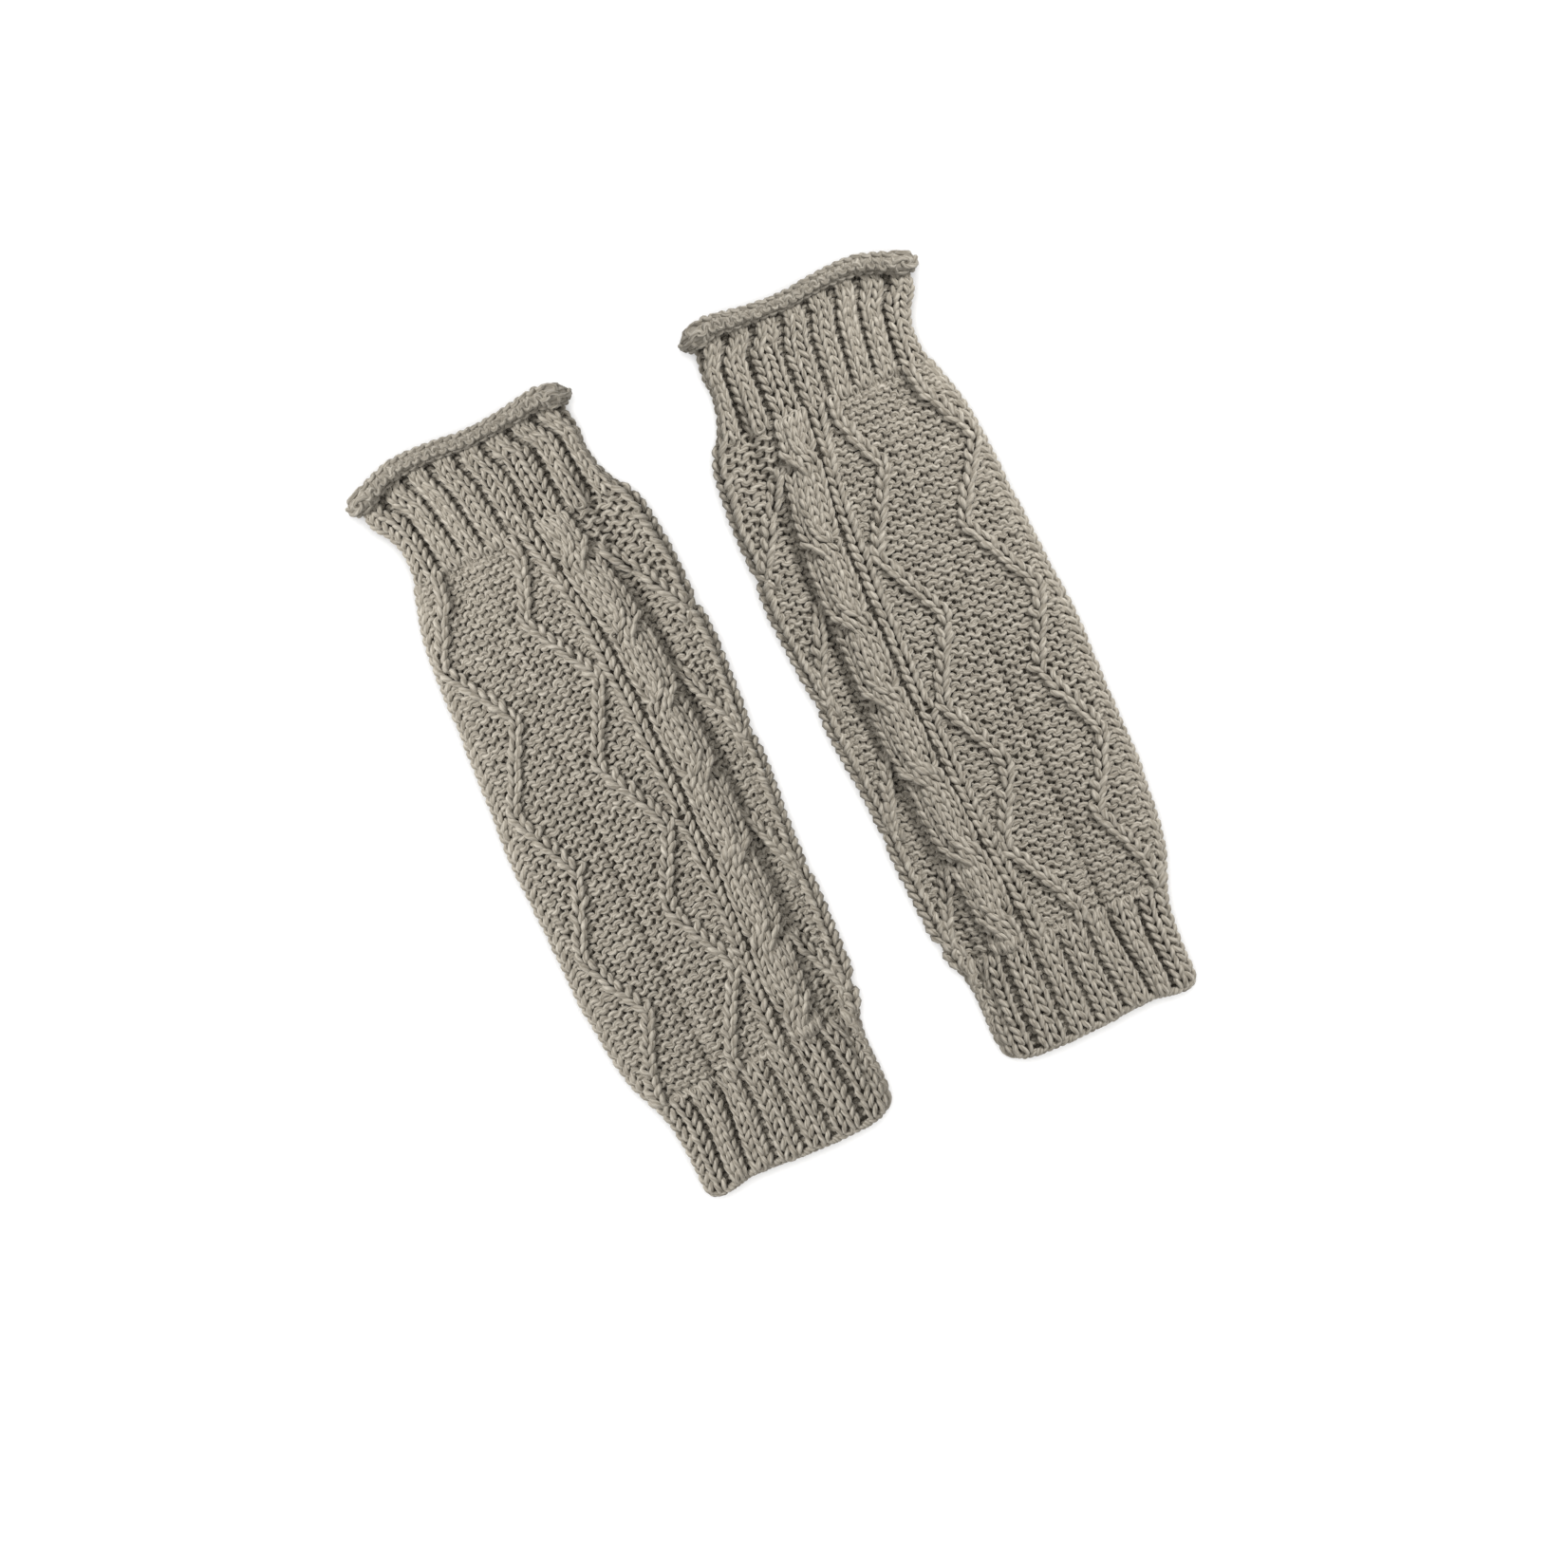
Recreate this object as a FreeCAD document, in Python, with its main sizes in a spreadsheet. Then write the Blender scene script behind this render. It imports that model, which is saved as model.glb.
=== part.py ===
import FreeCAD, Part
import os
from FreeCAD import Placement, Rotation, Vector

# A pair of long fingerless gloves, hand-knitted as two tubes, laid side by side on a table.
# Row frame, millimetres: +Z up from the table, +Y along the gloves towards the rolled hand
# openings, +X across the pair. The origin is under the middle of the pair, on the table.
# Each glove is a hollow flattened tube: a rolled edge round the hand opening, a ribbed hand
# cuff, a cabled sleeve, a ribbed hem cuff and a cast-on edge round the arm opening.
# The right glove is the mirror image of the left one, laid a little further towards the hem end.

os.makedirs("parts", exist_ok=True)
doc = FreeCAD.newDocument("fingerless_gloves")

# ---------------------------------------------------------------- driving dimensions
sheet = doc.addObject("Spreadsheet::Sheet", "dims")
_row = [0]


def cell(alias, value, note=""):
    _row[0] += 1
    sheet.set("A%d" % _row[0], alias)
    sheet.set("B%d" % _row[0], repr(float(value)))
    sheet.setAlias("B%d" % _row[0], alias)
    if note:
        sheet.set("C%d" % _row[0], note)


cell("wall", 3.7, "thickness of the knitted wall")
cell("body_gap", 0.3, "clearance between the sleeve and each cuff")
cell("flat_trim", 0.3, "depth of the flat where the sleeve rests on the table")
cell("lay_x", 64.56, "half the spacing of the two gloves")
cell("lay_angle", 1.53, "each glove leans this much, so that they close up at the hem end")
cell("lay_drop", 2.25, "the right glove lies this much further towards the hem end")
cell("roll_rad", 3.3, "radius of the rolled edge")
cell("roll_chord", 2.0, "distance from the roll's centre back to the cuff's end face")
cell("roll_span", 87.3, "width of the roll's centre line")
cell("roll_rise", 11.4, "height of the roll's centre line")
cell("roll_pos", 147.5, "roll centre, along the glove")
cell("roll_shift", -0.79, "roll centre, across the glove")
cell("cast_rad", 2.3, "radius of the cast-on edge")
cell("cast_chord", 1.0, "distance from its centre back to the cuff's end face")
cell("cast_span", 75.1, "width of its centre line")
cell("cast_rise", 9.4, "height of its centre line")
cell("cast_pos", -148.5, "its centre, along the glove")
cell("cast_shift", -0.35, "its centre, across the glove")

# Cross-sections of the tube: place along the glove, shift of the middle across the glove,
# full width, full thickness, height of the underside.
HAND = [
    ("ha", 104.43 + 0.15, 5.64, 88.1, 13.6, 0.05),
    ("hb", 111.5, 4.58, 82.5, 13.6, 0.05),
    ("hc", 122.0, 2.82, 81.1, 13.8, 0.1),
    ("hd", 129.0, 1.94, 82.3, 14.2, 0.5),
    ("he", 145.5, -0.79, 91.0, 15.1, 1.45),
]
SLEEVE = [
    ("sa", 104.43 - 0.15, 5.64, 88.1, 13.9, -0.3),
    ("sb", 95.6, 5.99, 94.5, 14.2, -0.3),
    ("sc", 85.0, 4.94, 98.3, 14.3, -0.3),
    ("sd", 69.2, 4.23, 100.8, 14.3, -0.3),
    ("se", 37.5, 3.53, 103.6, 14.3, -0.3),
    ("sf", 0.4, 0.35, 103.6, 14.3, -0.3),
    ("sg", -41.9, -1.41, 100.1, 14.3, -0.3),
    ("si", -84.2, -1.41, 97.3, 14.3, -0.3),
    ("sj", -100.0, -0.79, 92.9, 14.2, -0.3),
    ("sk", -108.83 + 0.15, -0.35, 86.7, 13.9, -0.3),
]
HEM = [
    ("ea", -108.83 - 0.15, -0.35, 86.7, 13.6, 0.05),
    ("eb", -115.9, -0.26, 82.0, 13.5, 0.05),
    ("ec", -126.5, -0.35, 79.7, 13.3, 0.1),
    ("ed", -147.5, -0.35, 78.8, 13.1, 0.45),
]
for name, y, c, w, t, b in HAND + SLEEVE + HEM:
    cell(name + "_pos", y)
    cell(name + "_shift", c)
    cell(name + "_wide", w)
    cell(name + "_thick", t)
    cell(name + "_under", b)
doc.recompute()


def origin_plane(body, role):
    for f in body.Origin.OriginFeatures:
        if f.Role == role:
            return f
    raise RuntimeError("no origin plane " + role)


def cross_section(body, name, side, station, inner):
    """A stadium across the tube: flat top and underside joined by two half circles."""
    sk = body.newObject("Sketcher::SketchObject", name)
    sk.AttachmentSupport = [(origin_plane(body, "XZ_Plane"), "")]
    sk.MapMode = "FlatFace"
    sk.setExpression("AttachmentOffset.Base.z", "-dims.%s_pos" % station)
    s = {k: sheet.get(station + "_" + k) for k in ("pos", "shift", "wide", "thick", "under")}
    rad = s["thick"] / 2 - (sheet.wall if inner else 0.0)
    half = s["wide"] / 2 - s["thick"] / 2
    xl, xr = side * s["shift"] - half, side * s["shift"] + half
    zc = s["under"] + s["thick"] / 2
    pi = 3.141592653589793
    sk.addGeometry(Part.LineSegment(Vector(xl, zc - rad, 0), Vector(xr, zc - rad, 0)))
    sk.addGeometry(Part.ArcOfCircle(Part.Circle(Vector(xr, zc, 0), Vector(0, 0, 1), rad), -pi / 2, pi / 2))
    sk.addGeometry(Part.LineSegment(Vector(xr, zc + rad, 0), Vector(xl, zc + rad, 0)))
    sk.addGeometry(Part.ArcOfCircle(Part.Circle(Vector(xl, zc, 0), Vector(0, 0, 1), rad), pi / 2, 3 * pi / 2))
    import Sketcher

    def con(*a):
        return sk.addConstraint(Sketcher.Constraint(*a))

    con("Tangent", 0, 2, 1, 1)
    con("Tangent", 1, 2, 2, 1)
    con("Tangent", 2, 2, 3, 1)
    con("Tangent", 3, 2, 0, 1)
    con("Horizontal", 0)
    half_text = "(dims.%s_wide - dims.%s_thick) / 2" % (station, station)
    for label, kind, geo, value, text in (
        ("left_c", "DistanceX", 3, xl, "%d * dims.%s_shift - %s" % (side, station, half_text)),
        ("right_c", "DistanceX", 1, xr, "%d * dims.%s_shift + %s" % (side, station, half_text)),
        ("mid_z", "DistanceY", 1, zc, "dims.%s_under + dims.%s_thick / 2" % (station, station)),
    ):
        i = con(kind, -1, 1, geo, 3, value)
        sk.renameConstraint(i, label)
        sk.setExpression("Constraints." + label, text)
    i = con("Radius", 1, rad)
    sk.renameConstraint(i, "half_t")
    sk.setExpression("Constraints.half_t", "dims.%s_thick / 2%s" % (station, " - dims.wall" if inner else ""))
    sk.Visibility = False
    return sk


def tube(label, side, stations, flat):
    """A hollow flattened tube lofted through its stations, trimmed flat underneath if asked."""
    body = doc.addObject("PartDesign::Body", "B_" + label)
    body.Label = label
    outer = [cross_section(body, "%s_o%d" % (label, i), side, st[0], False) for i, st in enumerate(stations)]
    skin = body.newObject("PartDesign::AdditiveLoft", label + "_skin")
    skin.Profile = (outer[0], [""])
    skin.Sections = [(o, [""]) for o in outer[1:]]
    skin.Ruled = False
    doc.recompute()
    full = body.Shape.Volume
    inner = [cross_section(body, "%s_i%d" % (label, i), side, st[0], True) for i, st in enumerate(stations)]
    hollow = body.newObject("PartDesign::SubtractiveLoft", label + "_hollow")
    hollow.Profile = (inner[0], [""])
    hollow.Sections = [(o, [""]) for o in inner[1:]]
    hollow.Ruled = False
    doc.recompute()
    if not body.Shape.Volume < 0.8 * full:
        raise RuntimeError(label + ": the tube is not hollow")
    if flat:
        before = body.Shape.Volume
        sk = body.newObject("Sketcher::SketchObject", label + "_table_line")
        sk.AttachmentSupport = [(origin_plane(body, "XY_Plane"), "")]
        sk.MapMode = "FlatFace"
        p = [Vector(-70, -170, 0), Vector(70, -170, 0), Vector(70, 170, 0), Vector(-70, 170, 0)]
        for i in range(4):
            sk.addGeometry(Part.LineSegment(p[i], p[(i + 1) % 4]))
        import Sketcher

        for i in range(4):
            sk.addConstraint(Sketcher.Constraint("Coincident", i, 2, (i + 1) % 4, 1))
        trim = body.newObject("PartDesign::Pocket", label + "_table_flat")
        trim.Profile = (sk, [""])
        trim.setExpression("Length", "dims.flat_trim + 1")
        sk.Visibility = False
        doc.recompute()
        if not body.Shape.Volume < before - 50:
            raise RuntimeError(label + ": the flat was not cut")
    return body


def edge_ring(label, side, key, toward):
    """A D-shaped bead led round the mouth of the tube. Its flat side meets the cuff's end.
    toward is the direction of the cuff along the glove, -1 for the hand end, +1 for the hem."""
    import Sketcher

    body = doc.addObject("PartDesign::Body", "B_" + label)
    body.Label = label
    g = {k: sheet.get(key + "_" + k) for k in ("rad", "chord", "span", "rise", "pos", "shift")}
    r, y0 = g["rad"], g["pos"]
    arc = g["rise"] / 2
    half = g["span"] / 2 - arc
    cx = side * g["shift"]
    z0, z1 = r, r + g["rise"]
    pi = 3.141592653589793
    # centre line: starts over the middle of the upper layer and goes once round the mouth
    path = body.newObject("Sketcher::SketchObject", label + "_path")
    path.AttachmentSupport = [(origin_plane(body, "XZ_Plane"), "")]
    path.MapMode = "FlatFace"
    path.setExpression("AttachmentOffset.Base.z", "-dims.%s_pos" % key)
    zc = (z0 + z1) / 2
    path.addGeometry(Part.LineSegment(Vector(0, z1, 0), Vector(cx + half, z1, 0)))
    path.addGeometry(Part.ArcOfCircle(Part.Circle(Vector(cx + half, zc, 0), Vector(0, 0, 1), arc), -pi / 2, pi / 2))
    path.addGeometry(Part.LineSegment(Vector(cx + half, z0, 0), Vector(cx - half, z0, 0)))
    path.addGeometry(Part.ArcOfCircle(Part.Circle(Vector(cx - half, zc, 0), Vector(0, 0, 1), arc), pi / 2, 3 * pi / 2))
    path.addGeometry(Part.LineSegment(Vector(cx - half, z1, 0), Vector(0, z1, 0)))

    def con(sk, *a):
        return sk.addConstraint(Sketcher.Constraint(*a))

    con(path, "Tangent", 0, 2, 1, 2)
    con(path, "Tangent", 1, 1, 2, 1)
    con(path, "Tangent", 2, 2, 3, 2)
    con(path, "Tangent", 3, 1, 4, 1)
    con(path, "Coincident", 4, 2, 0, 1)
    con(path, "Horizontal", 0)
    con(path, "Horizontal", 4)
    con(path, "PointOnObject", 0, 1, -2)
    for name, kind, geo, value, text in (
        ("right_c", "DistanceX", 1, cx + half, "%d * dims.%s_shift + (dims.%s_span - dims.%s_rise) / 2" % (side, key, key, key)),
        ("left_c", "DistanceX", 3, cx - half, "%d * dims.%s_shift - (dims.%s_span - dims.%s_rise) / 2" % (side, key, key, key)),
        ("mid_z", "DistanceY", 1, zc, "dims.%s_rad + dims.%s_rise / 2" % (key, key)),
    ):
        i = con(path, kind, -1, 1, geo, 3, value)
        path.renameConstraint(i, name)
        path.setExpression("Constraints." + name, text)
    i = con(path, "Radius", 1, arc)
    path.renameConstraint(i, "turn")
    path.setExpression("Constraints.turn", "dims.%s_rise / 2" % key)
    # bead section on the plane across the middle of the glove
    prof = body.newObject("Sketcher::SketchObject", label + "_bead")
    prof.AttachmentSupport = [(origin_plane(body, "YZ_Plane"), "")]
    prof.MapMode = "FlatFace"
    ch = g["chord"]
    hz = (r * r - ch * ch) ** 0.5
    yc = y0 + toward * ch
    circle = Part.Circle(Vector(y0, z1, 0), Vector(0, 0, 1), r)
    import math

    if toward < 0:
        a0 = math.atan2(-hz, -ch)
        a1 = math.atan2(hz, -ch)
    else:
        a0 = math.atan2(hz, ch)
        a1 = math.atan2(-hz, ch) + 2 * pi
    prof.addGeometry(Part.ArcOfCircle(circle, a0, a1))
    p0 = Vector(y0 + r * math.cos(a0), z1 + r * math.sin(a0), 0)
    p1 = Vector(y0 + r * math.cos(a1), z1 + r * math.sin(a1), 0)
    prof.addGeometry(Part.LineSegment(p1, p0))
    con(prof, "Coincident", 0, 2, 1, 1)
    con(prof, "Coincident", 1, 2, 0, 1)
    con(prof, "Vertical", 1)
    i = con(prof, "Radius", 0, r)
    prof.renameConstraint(i, "bead_r")
    prof.setExpression("Constraints.bead_r", "dims.%s_rad" % key)
    for name, kind, geo, pt, value, text in (
        ("along", "DistanceX", 0, 3, y0, "dims.%s_pos" % key),
        ("height", "DistanceY", 0, 3, z1, "dims.%s_rad + dims.%s_rise" % (key, key)),
        ("flat", "DistanceX", 1, 1, yc, "dims.%s_pos + %d * dims.%s_chord" % (key, toward, key)),
    ):
        i = con(prof, kind, -1, 1, geo, pt, value)
        prof.renameConstraint(i, name)
        prof.setExpression("Constraints." + name, text)
    doc.recompute()
    pipe = body.newObject("PartDesign::AdditivePipe", label + "_bead_round")
    pipe.Profile = (prof, [""])
    pipe.Spine = (path, [""])
    pipe.Mode = "Standard"
    path.Visibility = False
    prof.Visibility = False
    doc.recompute()
    area = Part.Face(prof.Shape.Wires[0]).Area
    expect = area * path.Shape.Length
    print("%s bead volume %.1f, section times length %.1f" % (label, body.Shape.Volume, expect))
    if abs(body.Shape.Volume / expect - 1) > 0.05:
        raise RuntimeError(label + ": the bead's volume is wrong")
    return body


made = []
for word, side in (("left", 1), ("right", -1)):
    glove = [
        edge_ring(word + "_rolled_edge", side, "roll", -1),
        tube(word + "_hand_cuff", side, HAND, False),
        tube(word + "_cable_sleeve", side, SLEEVE, True),
        tube(word + "_hem_cuff", side, HEM, False),
        edge_ring(word + "_cast_on_edge", side, "cast", 1),
    ]
    for body in glove:
        # the left glove lies at -X and leans with its hem towards the middle
        drop = sheet.lay_drop if side < 0 else 0
        body.Placement = Placement(Vector(-side * sheet.lay_x, -drop, 0), Rotation(Vector(0, 0, 1), side * sheet.lay_angle))
        body.setExpression("Placement.Base.x", "%d * dims.lay_x" % -side)
        if side < 0:
            body.setExpression("Placement.Base.y", "-dims.lay_drop")
        body.setExpression("Placement.Rotation.Angle", "%d * dims.lay_angle" % side)
    made += glove

doc.recompute()
bad = [o.Name for o in doc.Objects if "Invalid" in o.State or "Error" in o.State]
if bad:
    raise RuntimeError("failed objects: %s" % bad)
for body in made:
    if body.Shape.isNull() or not body.Shape.isValid() or len(body.Shape.Solids) != 1:
        raise RuntimeError(body.Label + ": the shape is null, not valid or not one solid")
for body in made:
    bb = body.Shape.BoundBox
    print(
        "%-22s volume %9.1f  x %7.2f..%7.2f  y %7.2f..%7.2f  z %5.2f..%5.2f"
        % (body.Label, body.Shape.Volume, bb.XMin, bb.XMax, bb.YMin, bb.YMax, bb.ZMin, bb.ZMax)
    )
    body.Shape.exportStep("parts/%s.step" % body.Label)
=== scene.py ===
import math

import bpy
import numpy as np
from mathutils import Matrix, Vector


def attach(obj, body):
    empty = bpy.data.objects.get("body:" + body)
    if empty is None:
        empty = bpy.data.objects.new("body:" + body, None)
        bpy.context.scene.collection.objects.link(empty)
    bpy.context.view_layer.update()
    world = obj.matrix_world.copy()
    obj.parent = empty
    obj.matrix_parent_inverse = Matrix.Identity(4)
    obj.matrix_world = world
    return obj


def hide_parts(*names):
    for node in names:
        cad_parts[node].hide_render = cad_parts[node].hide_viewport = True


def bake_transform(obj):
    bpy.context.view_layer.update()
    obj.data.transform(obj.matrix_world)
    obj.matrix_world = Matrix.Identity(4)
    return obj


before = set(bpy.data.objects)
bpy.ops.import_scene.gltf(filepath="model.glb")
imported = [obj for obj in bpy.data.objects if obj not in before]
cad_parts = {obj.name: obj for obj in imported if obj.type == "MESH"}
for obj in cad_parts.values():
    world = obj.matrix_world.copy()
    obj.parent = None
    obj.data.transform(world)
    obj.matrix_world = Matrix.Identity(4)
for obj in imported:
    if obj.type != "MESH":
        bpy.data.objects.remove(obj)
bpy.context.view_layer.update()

# ------------------------------------------------------------------ the glove's own measures
# All knitting is laid out in millimetres in one glove's own frame: x across, y along towards
# the rolled edge, z up. "u" and "v" below are the chart's units, K mm each: u across from the
# glove's middle line, v along from the hand end towards the hem.
K = 0.3525
VMID = 401.25
LAY_X, LAY_ANGLE = 64.56, math.radians(1.53)
LAY_DROP = 2.25                           # the right glove lies this much nearer the hem end
Y_HAND, Y_HEM = 104.43, -108.83          # where the cuffs meet the sleeve
YARN_R = 0.93                             # yarn radius
KNIT_D = 1.2                              # the same for plain stitches
LOOP_D = 0.95                             # how far a loop swings out of the cloth's middle
PER, RING = 16, 7                         # samples to a stitch, corners of the yarn's section
rng = np.random.default_rng(11)


def v2y(v):
    return (VMID - np.asarray(v, float)) * K


def y2v(y):
    return VMID - np.asarray(y, float) / K


def smooth01(x):
    x = np.clip(x, 0.0, 1.0)
    return x * x * (3 - 2 * x)


def interp_smooth(x, xs, ys, sigma):
    """Linear table lookup, rounded by averaging a few nearby lookups."""
    x = np.asarray(x, float)
    out = np.zeros_like(x)
    for k, w in ((-1.5, 0.1), (-0.75, 0.22), (0, 0.36), (0.75, 0.22), (1.5, 0.1)):
        out = out + w * np.interp(x + k * sigma, xs, ys)
    return out


# Outline of one glove lying flat: v, left edge, right edge.
OUT = np.array([
    (-40, -125, 122), (8, -124.5, 122), (25, -121.5, 127), (40, -111, 122), (55, -107, 123), (70, -104, 125), (85, -104, 130),
    (100, -107.5, 138.5), (115, -112, 146), (130, -117, 151), (145, -122, 153), (160, -125.5, 153.5),
    (175, -128, 155), (205, -131, 155), (235, -133, 154.5), (265, -134, 156), (295, -137, 157),
    (325, -139, 154.5), (355, -141, 151.5), (385, -144, 149), (400, -146, 148), (430, -147, 147.5),
    (460, -146, 144.5), (490, -146, 141), (520, -146, 138.5), (550, -146.5, 137.5), (580, -147, 137),
    (610, -144, 136), (640, -142, 134), (670, -138, 131), (685, -134, 129.5), (700, -128, 126),
    (715, -122, 120), (730, -117, 115.5), (745, -115, 113), (760, -114, 112), (775, -113, 112),
    (790, -113, 112.5), (805, -113.5, 112), (820, -112.5, 108), (840, -111, 106)], float)
HALF_WALL = 7.5                          # from the yarn's outside to the cloth's middle, in u


def left_mid(y):
    return (interp_smooth(y2v(y), OUT[:, 0], OUT[:, 1], 8) + HALF_WALL) * K


def right_mid(y):
    return (interp_smooth(y2v(y), OUT[:, 0], OUT[:, 2], 8) - HALF_WALL) * K


# Height of the lower layer's middle, and the rise from it to the upper layer's middle.
ZT = np.array([(-152, 2.3, 8.6), (-140, 2.0, 9.2), (-120, 1.95, 9.6), (-100, 1.95, 10.1), (-60, 1.95, 10.3),
               (0, 1.95, 10.3), (60, 1.95, 10.3), (95, 1.95, 10.1), (110, 2.0, 9.7), (125, 3.2, 8.1),
               (138, 5.8, 6.0), (146.5, 7.2, 4.9), (152, 7.3, 4.9)], float)


def section(y):
    """Left and right ends of the flat part, half the rise, and the middle height, at y."""
    zb = interp_smooth(y, ZT[:, 0], ZT[:, 1], 4)
    rise = interp_smooth(y, ZT[:, 0], ZT[:, 2], 4)
    ra = rise / 2
    return left_mid(y) + ra, right_mid(y) - ra, ra, zb + ra


def girth(y):
    xl, xr, ra, zm = section(y)
    return 2 * (xr - xl) + 2 * math.pi * ra


def s_of_u(u, y):
    """Arc length from the left fold, over the upper layer, to the place seen at u."""
    x = np.asarray(u, float) * K
    xl, xr, ra, zm = section(y)
    a = np.arccos(np.clip((xl - x) / ra, 0, 1)) * ra
    b = math.pi / 2 * ra + (xr - xl) + np.arcsin(np.clip((x - xr) / ra, 0, 1)) * ra
    m = math.pi / 2 * ra + (x - xl)
    return np.where(x < xl, a, np.where(x > xr, b, m))


def surface(s, y):
    """Point and outward normal of the tube's middle surface at arc length s and place y."""
    xl, xr, ra, zm = section(y)
    w = xr - xl
    total = 2 * w + 2 * math.pi * ra
    s = np.mod(s, total)
    q = math.pi / 2 * ra
    x = np.empty_like(s)
    z = np.empty_like(s)
    nx = np.empty_like(s)
    nz = np.empty_like(s)
    f = s / ra
    m = s < q
    x[m] = (xl - ra * np.cos(f))[m]; z[m] = (zm + ra * np.sin(f))[m]
    nx[m] = -np.cos(f)[m]; nz[m] = np.sin(f)[m]
    m = (s >= q) & (s < q + w)
    x[m] = (xl + s - q)[m]; z[m] = (zm + ra)[m]; nx[m] = 0; nz[m] = 1
    m = (s >= q + w) & (s < 3 * q + w)
    f = (s - q - w) / ra
    x[m] = (xr + ra * np.sin(f))[m]; z[m] = (zm + ra * np.cos(f))[m]
    nx[m] = np.sin(f)[m]; nz[m] = np.cos(f)[m]
    m = (s >= 3 * q + w) & (s < 3 * q + 2 * w)
    x[m] = (xr - (s - 3 * q - w))[m]; z[m] = (zm - ra)[m]; nx[m] = 0; nz[m] = -1
    m = s >= 3 * q + 2 * w
    f = (s - 3 * q - 2 * w) / ra
    x[m] = (xl - ra * np.sin(f))[m]; z[m] = (zm - ra * np.cos(f))[m]
    nx[m] = -np.sin(f)[m]; nz[m] = -np.cos(f)[m]
    return x, z, nx, nz


# Slow unevenness of hand knitting: a sum of a few long waves.
WAVES = [(rng.uniform(0.02, 0.09), rng.uniform(0.02, 0.09), rng.uniform(0, 6.28), rng.uniform(-1, 1)) for _ in range(9)]


def waves(x, y, k=1.0):
    return sum(np.sin(a * k * x * (1 if c > 0 else -1) + b * k * y + p) for a, b, p, c in WAVES) / 4


# ------------------------------------------------------------------ the roll at the hand edge
Y_CURL = 147.1                            # where the cloth starts to curl outwards
ROLL = [(0.0, 0.0, 0.0, 0.0)]             # along the cloth, angle, move along y, move outwards
_l, _a, _yy, _nn = 0.0, 0.0, 0.0, 0.0
while _l < 24:
    _rad = 2.6 - 0.1 * min(_a, math.pi) / math.pi - 0.7 * max(0.0, min(1.0, (_a - math.pi) / math.pi))
    _a += 0.05 / _rad
    _yy += 0.05 * math.cos(_a)
    _nn += 0.05 * math.sin(_a)
    _l += 0.05
    ROLL.append((_l, _a, _yy, _nn))
ROLL = np.array(ROLL)

# How far the hand edge and the hem edge run from a straight line: u, shift along y in mm.
HAND_EDGE = np.array([(-135, -7.6), (-121, -6.8), (-110, -5.0), (-93, -2.4), (-80, -0.9), (-69, 0.0), (-45, 0.1), (-20, -0.8), (4, -2.2),
                      (28, -2.6), (52, -2.3), (76, -1.5), (96, -0.7), (106, -1.5), (116, -3.4), (128, -4.8)], float)
HEM_EDGE = np.array([(-118, 6.0), (-112, 3.6), (-104, 1.2), (-96, 0.3), (-80, 0.9), (-60, 2.3), (-40, 2.0), (-20, 1.4), (0, 0.6),
                     (40, -0.3), (75, -0.3), (92, 0.6), (100, 2.2), (106, 4.6), (112, 6.4)], float)


# ------------------------------------------------------------------ a zone of knitting
class Zone:
    """Rows of stitches between two places along the tube. The columns (wales) of a zone sit at
    slot positions q; anchors say where a slot lies across the glove at each v."""

    def __init__(self, n, rows, l0, l1):
        self.n, self.rows, self.l0, self.l1 = n, rows, l0, l1
        self.pitch = (l1 - l0) / rows

    def row_l(self, rho):
        return self.l0 + (rho + 0.5) * self.pitch

    def set_slots(self, anchors):
        """anchors(v, y) -> (list of q, list of s) over one turn, 0 and n included."""
        self.tab_l = np.linspace(self.l0 - 12, self.l1 + 12, 260)
        self.tab_q = np.arange(0, self.n + 0.001, 0.25)
        t = []
        for l in self.tab_l:
            y = min(l, Y_CURL)
            q, s = anchors(float(y2v(y)), np.array(y, float))
            t.append(np.interp(self.tab_q, q, s))
        self.tab = np.array(t)

    def slot_s(self, q, l):
        turns = np.floor(q / self.n)
        q = q - turns * self.n
        a = np.clip((l - self.tab_l[0]) / (self.tab_l[1] - self.tab_l[0]), 0, len(self.tab_l) - 1.001)
        b = np.clip(q * 4, 0, len(self.tab_q) - 1.001)
        i, j = a.astype(int), b.astype(int)
        fa, fb = a - i, b - j
        t = self.tab
        low = t[i, j] * (1 - fb) + t[i, j + 1] * fb
        high = t[i + 1, j] * (1 - fb) + t[i + 1, j + 1] * fb
        return low * (1 - fa) + high * fa + turns * girth(np.minimum(l, Y_CURL))


CREASE = np.array([(100, 0), (140, 1.5), (380, 1.7), (560, 3.2), (690, 4.0), (760, 2.6), (835, 0.8)], float)
VALLEY = np.array([(40, 95), (60, 96), (105, 100), (150, 101), (200, 104), (400, 104), (500, 101), (600, 97), (700, 94),
                   (760, 97), (830, 98)], float)


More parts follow.
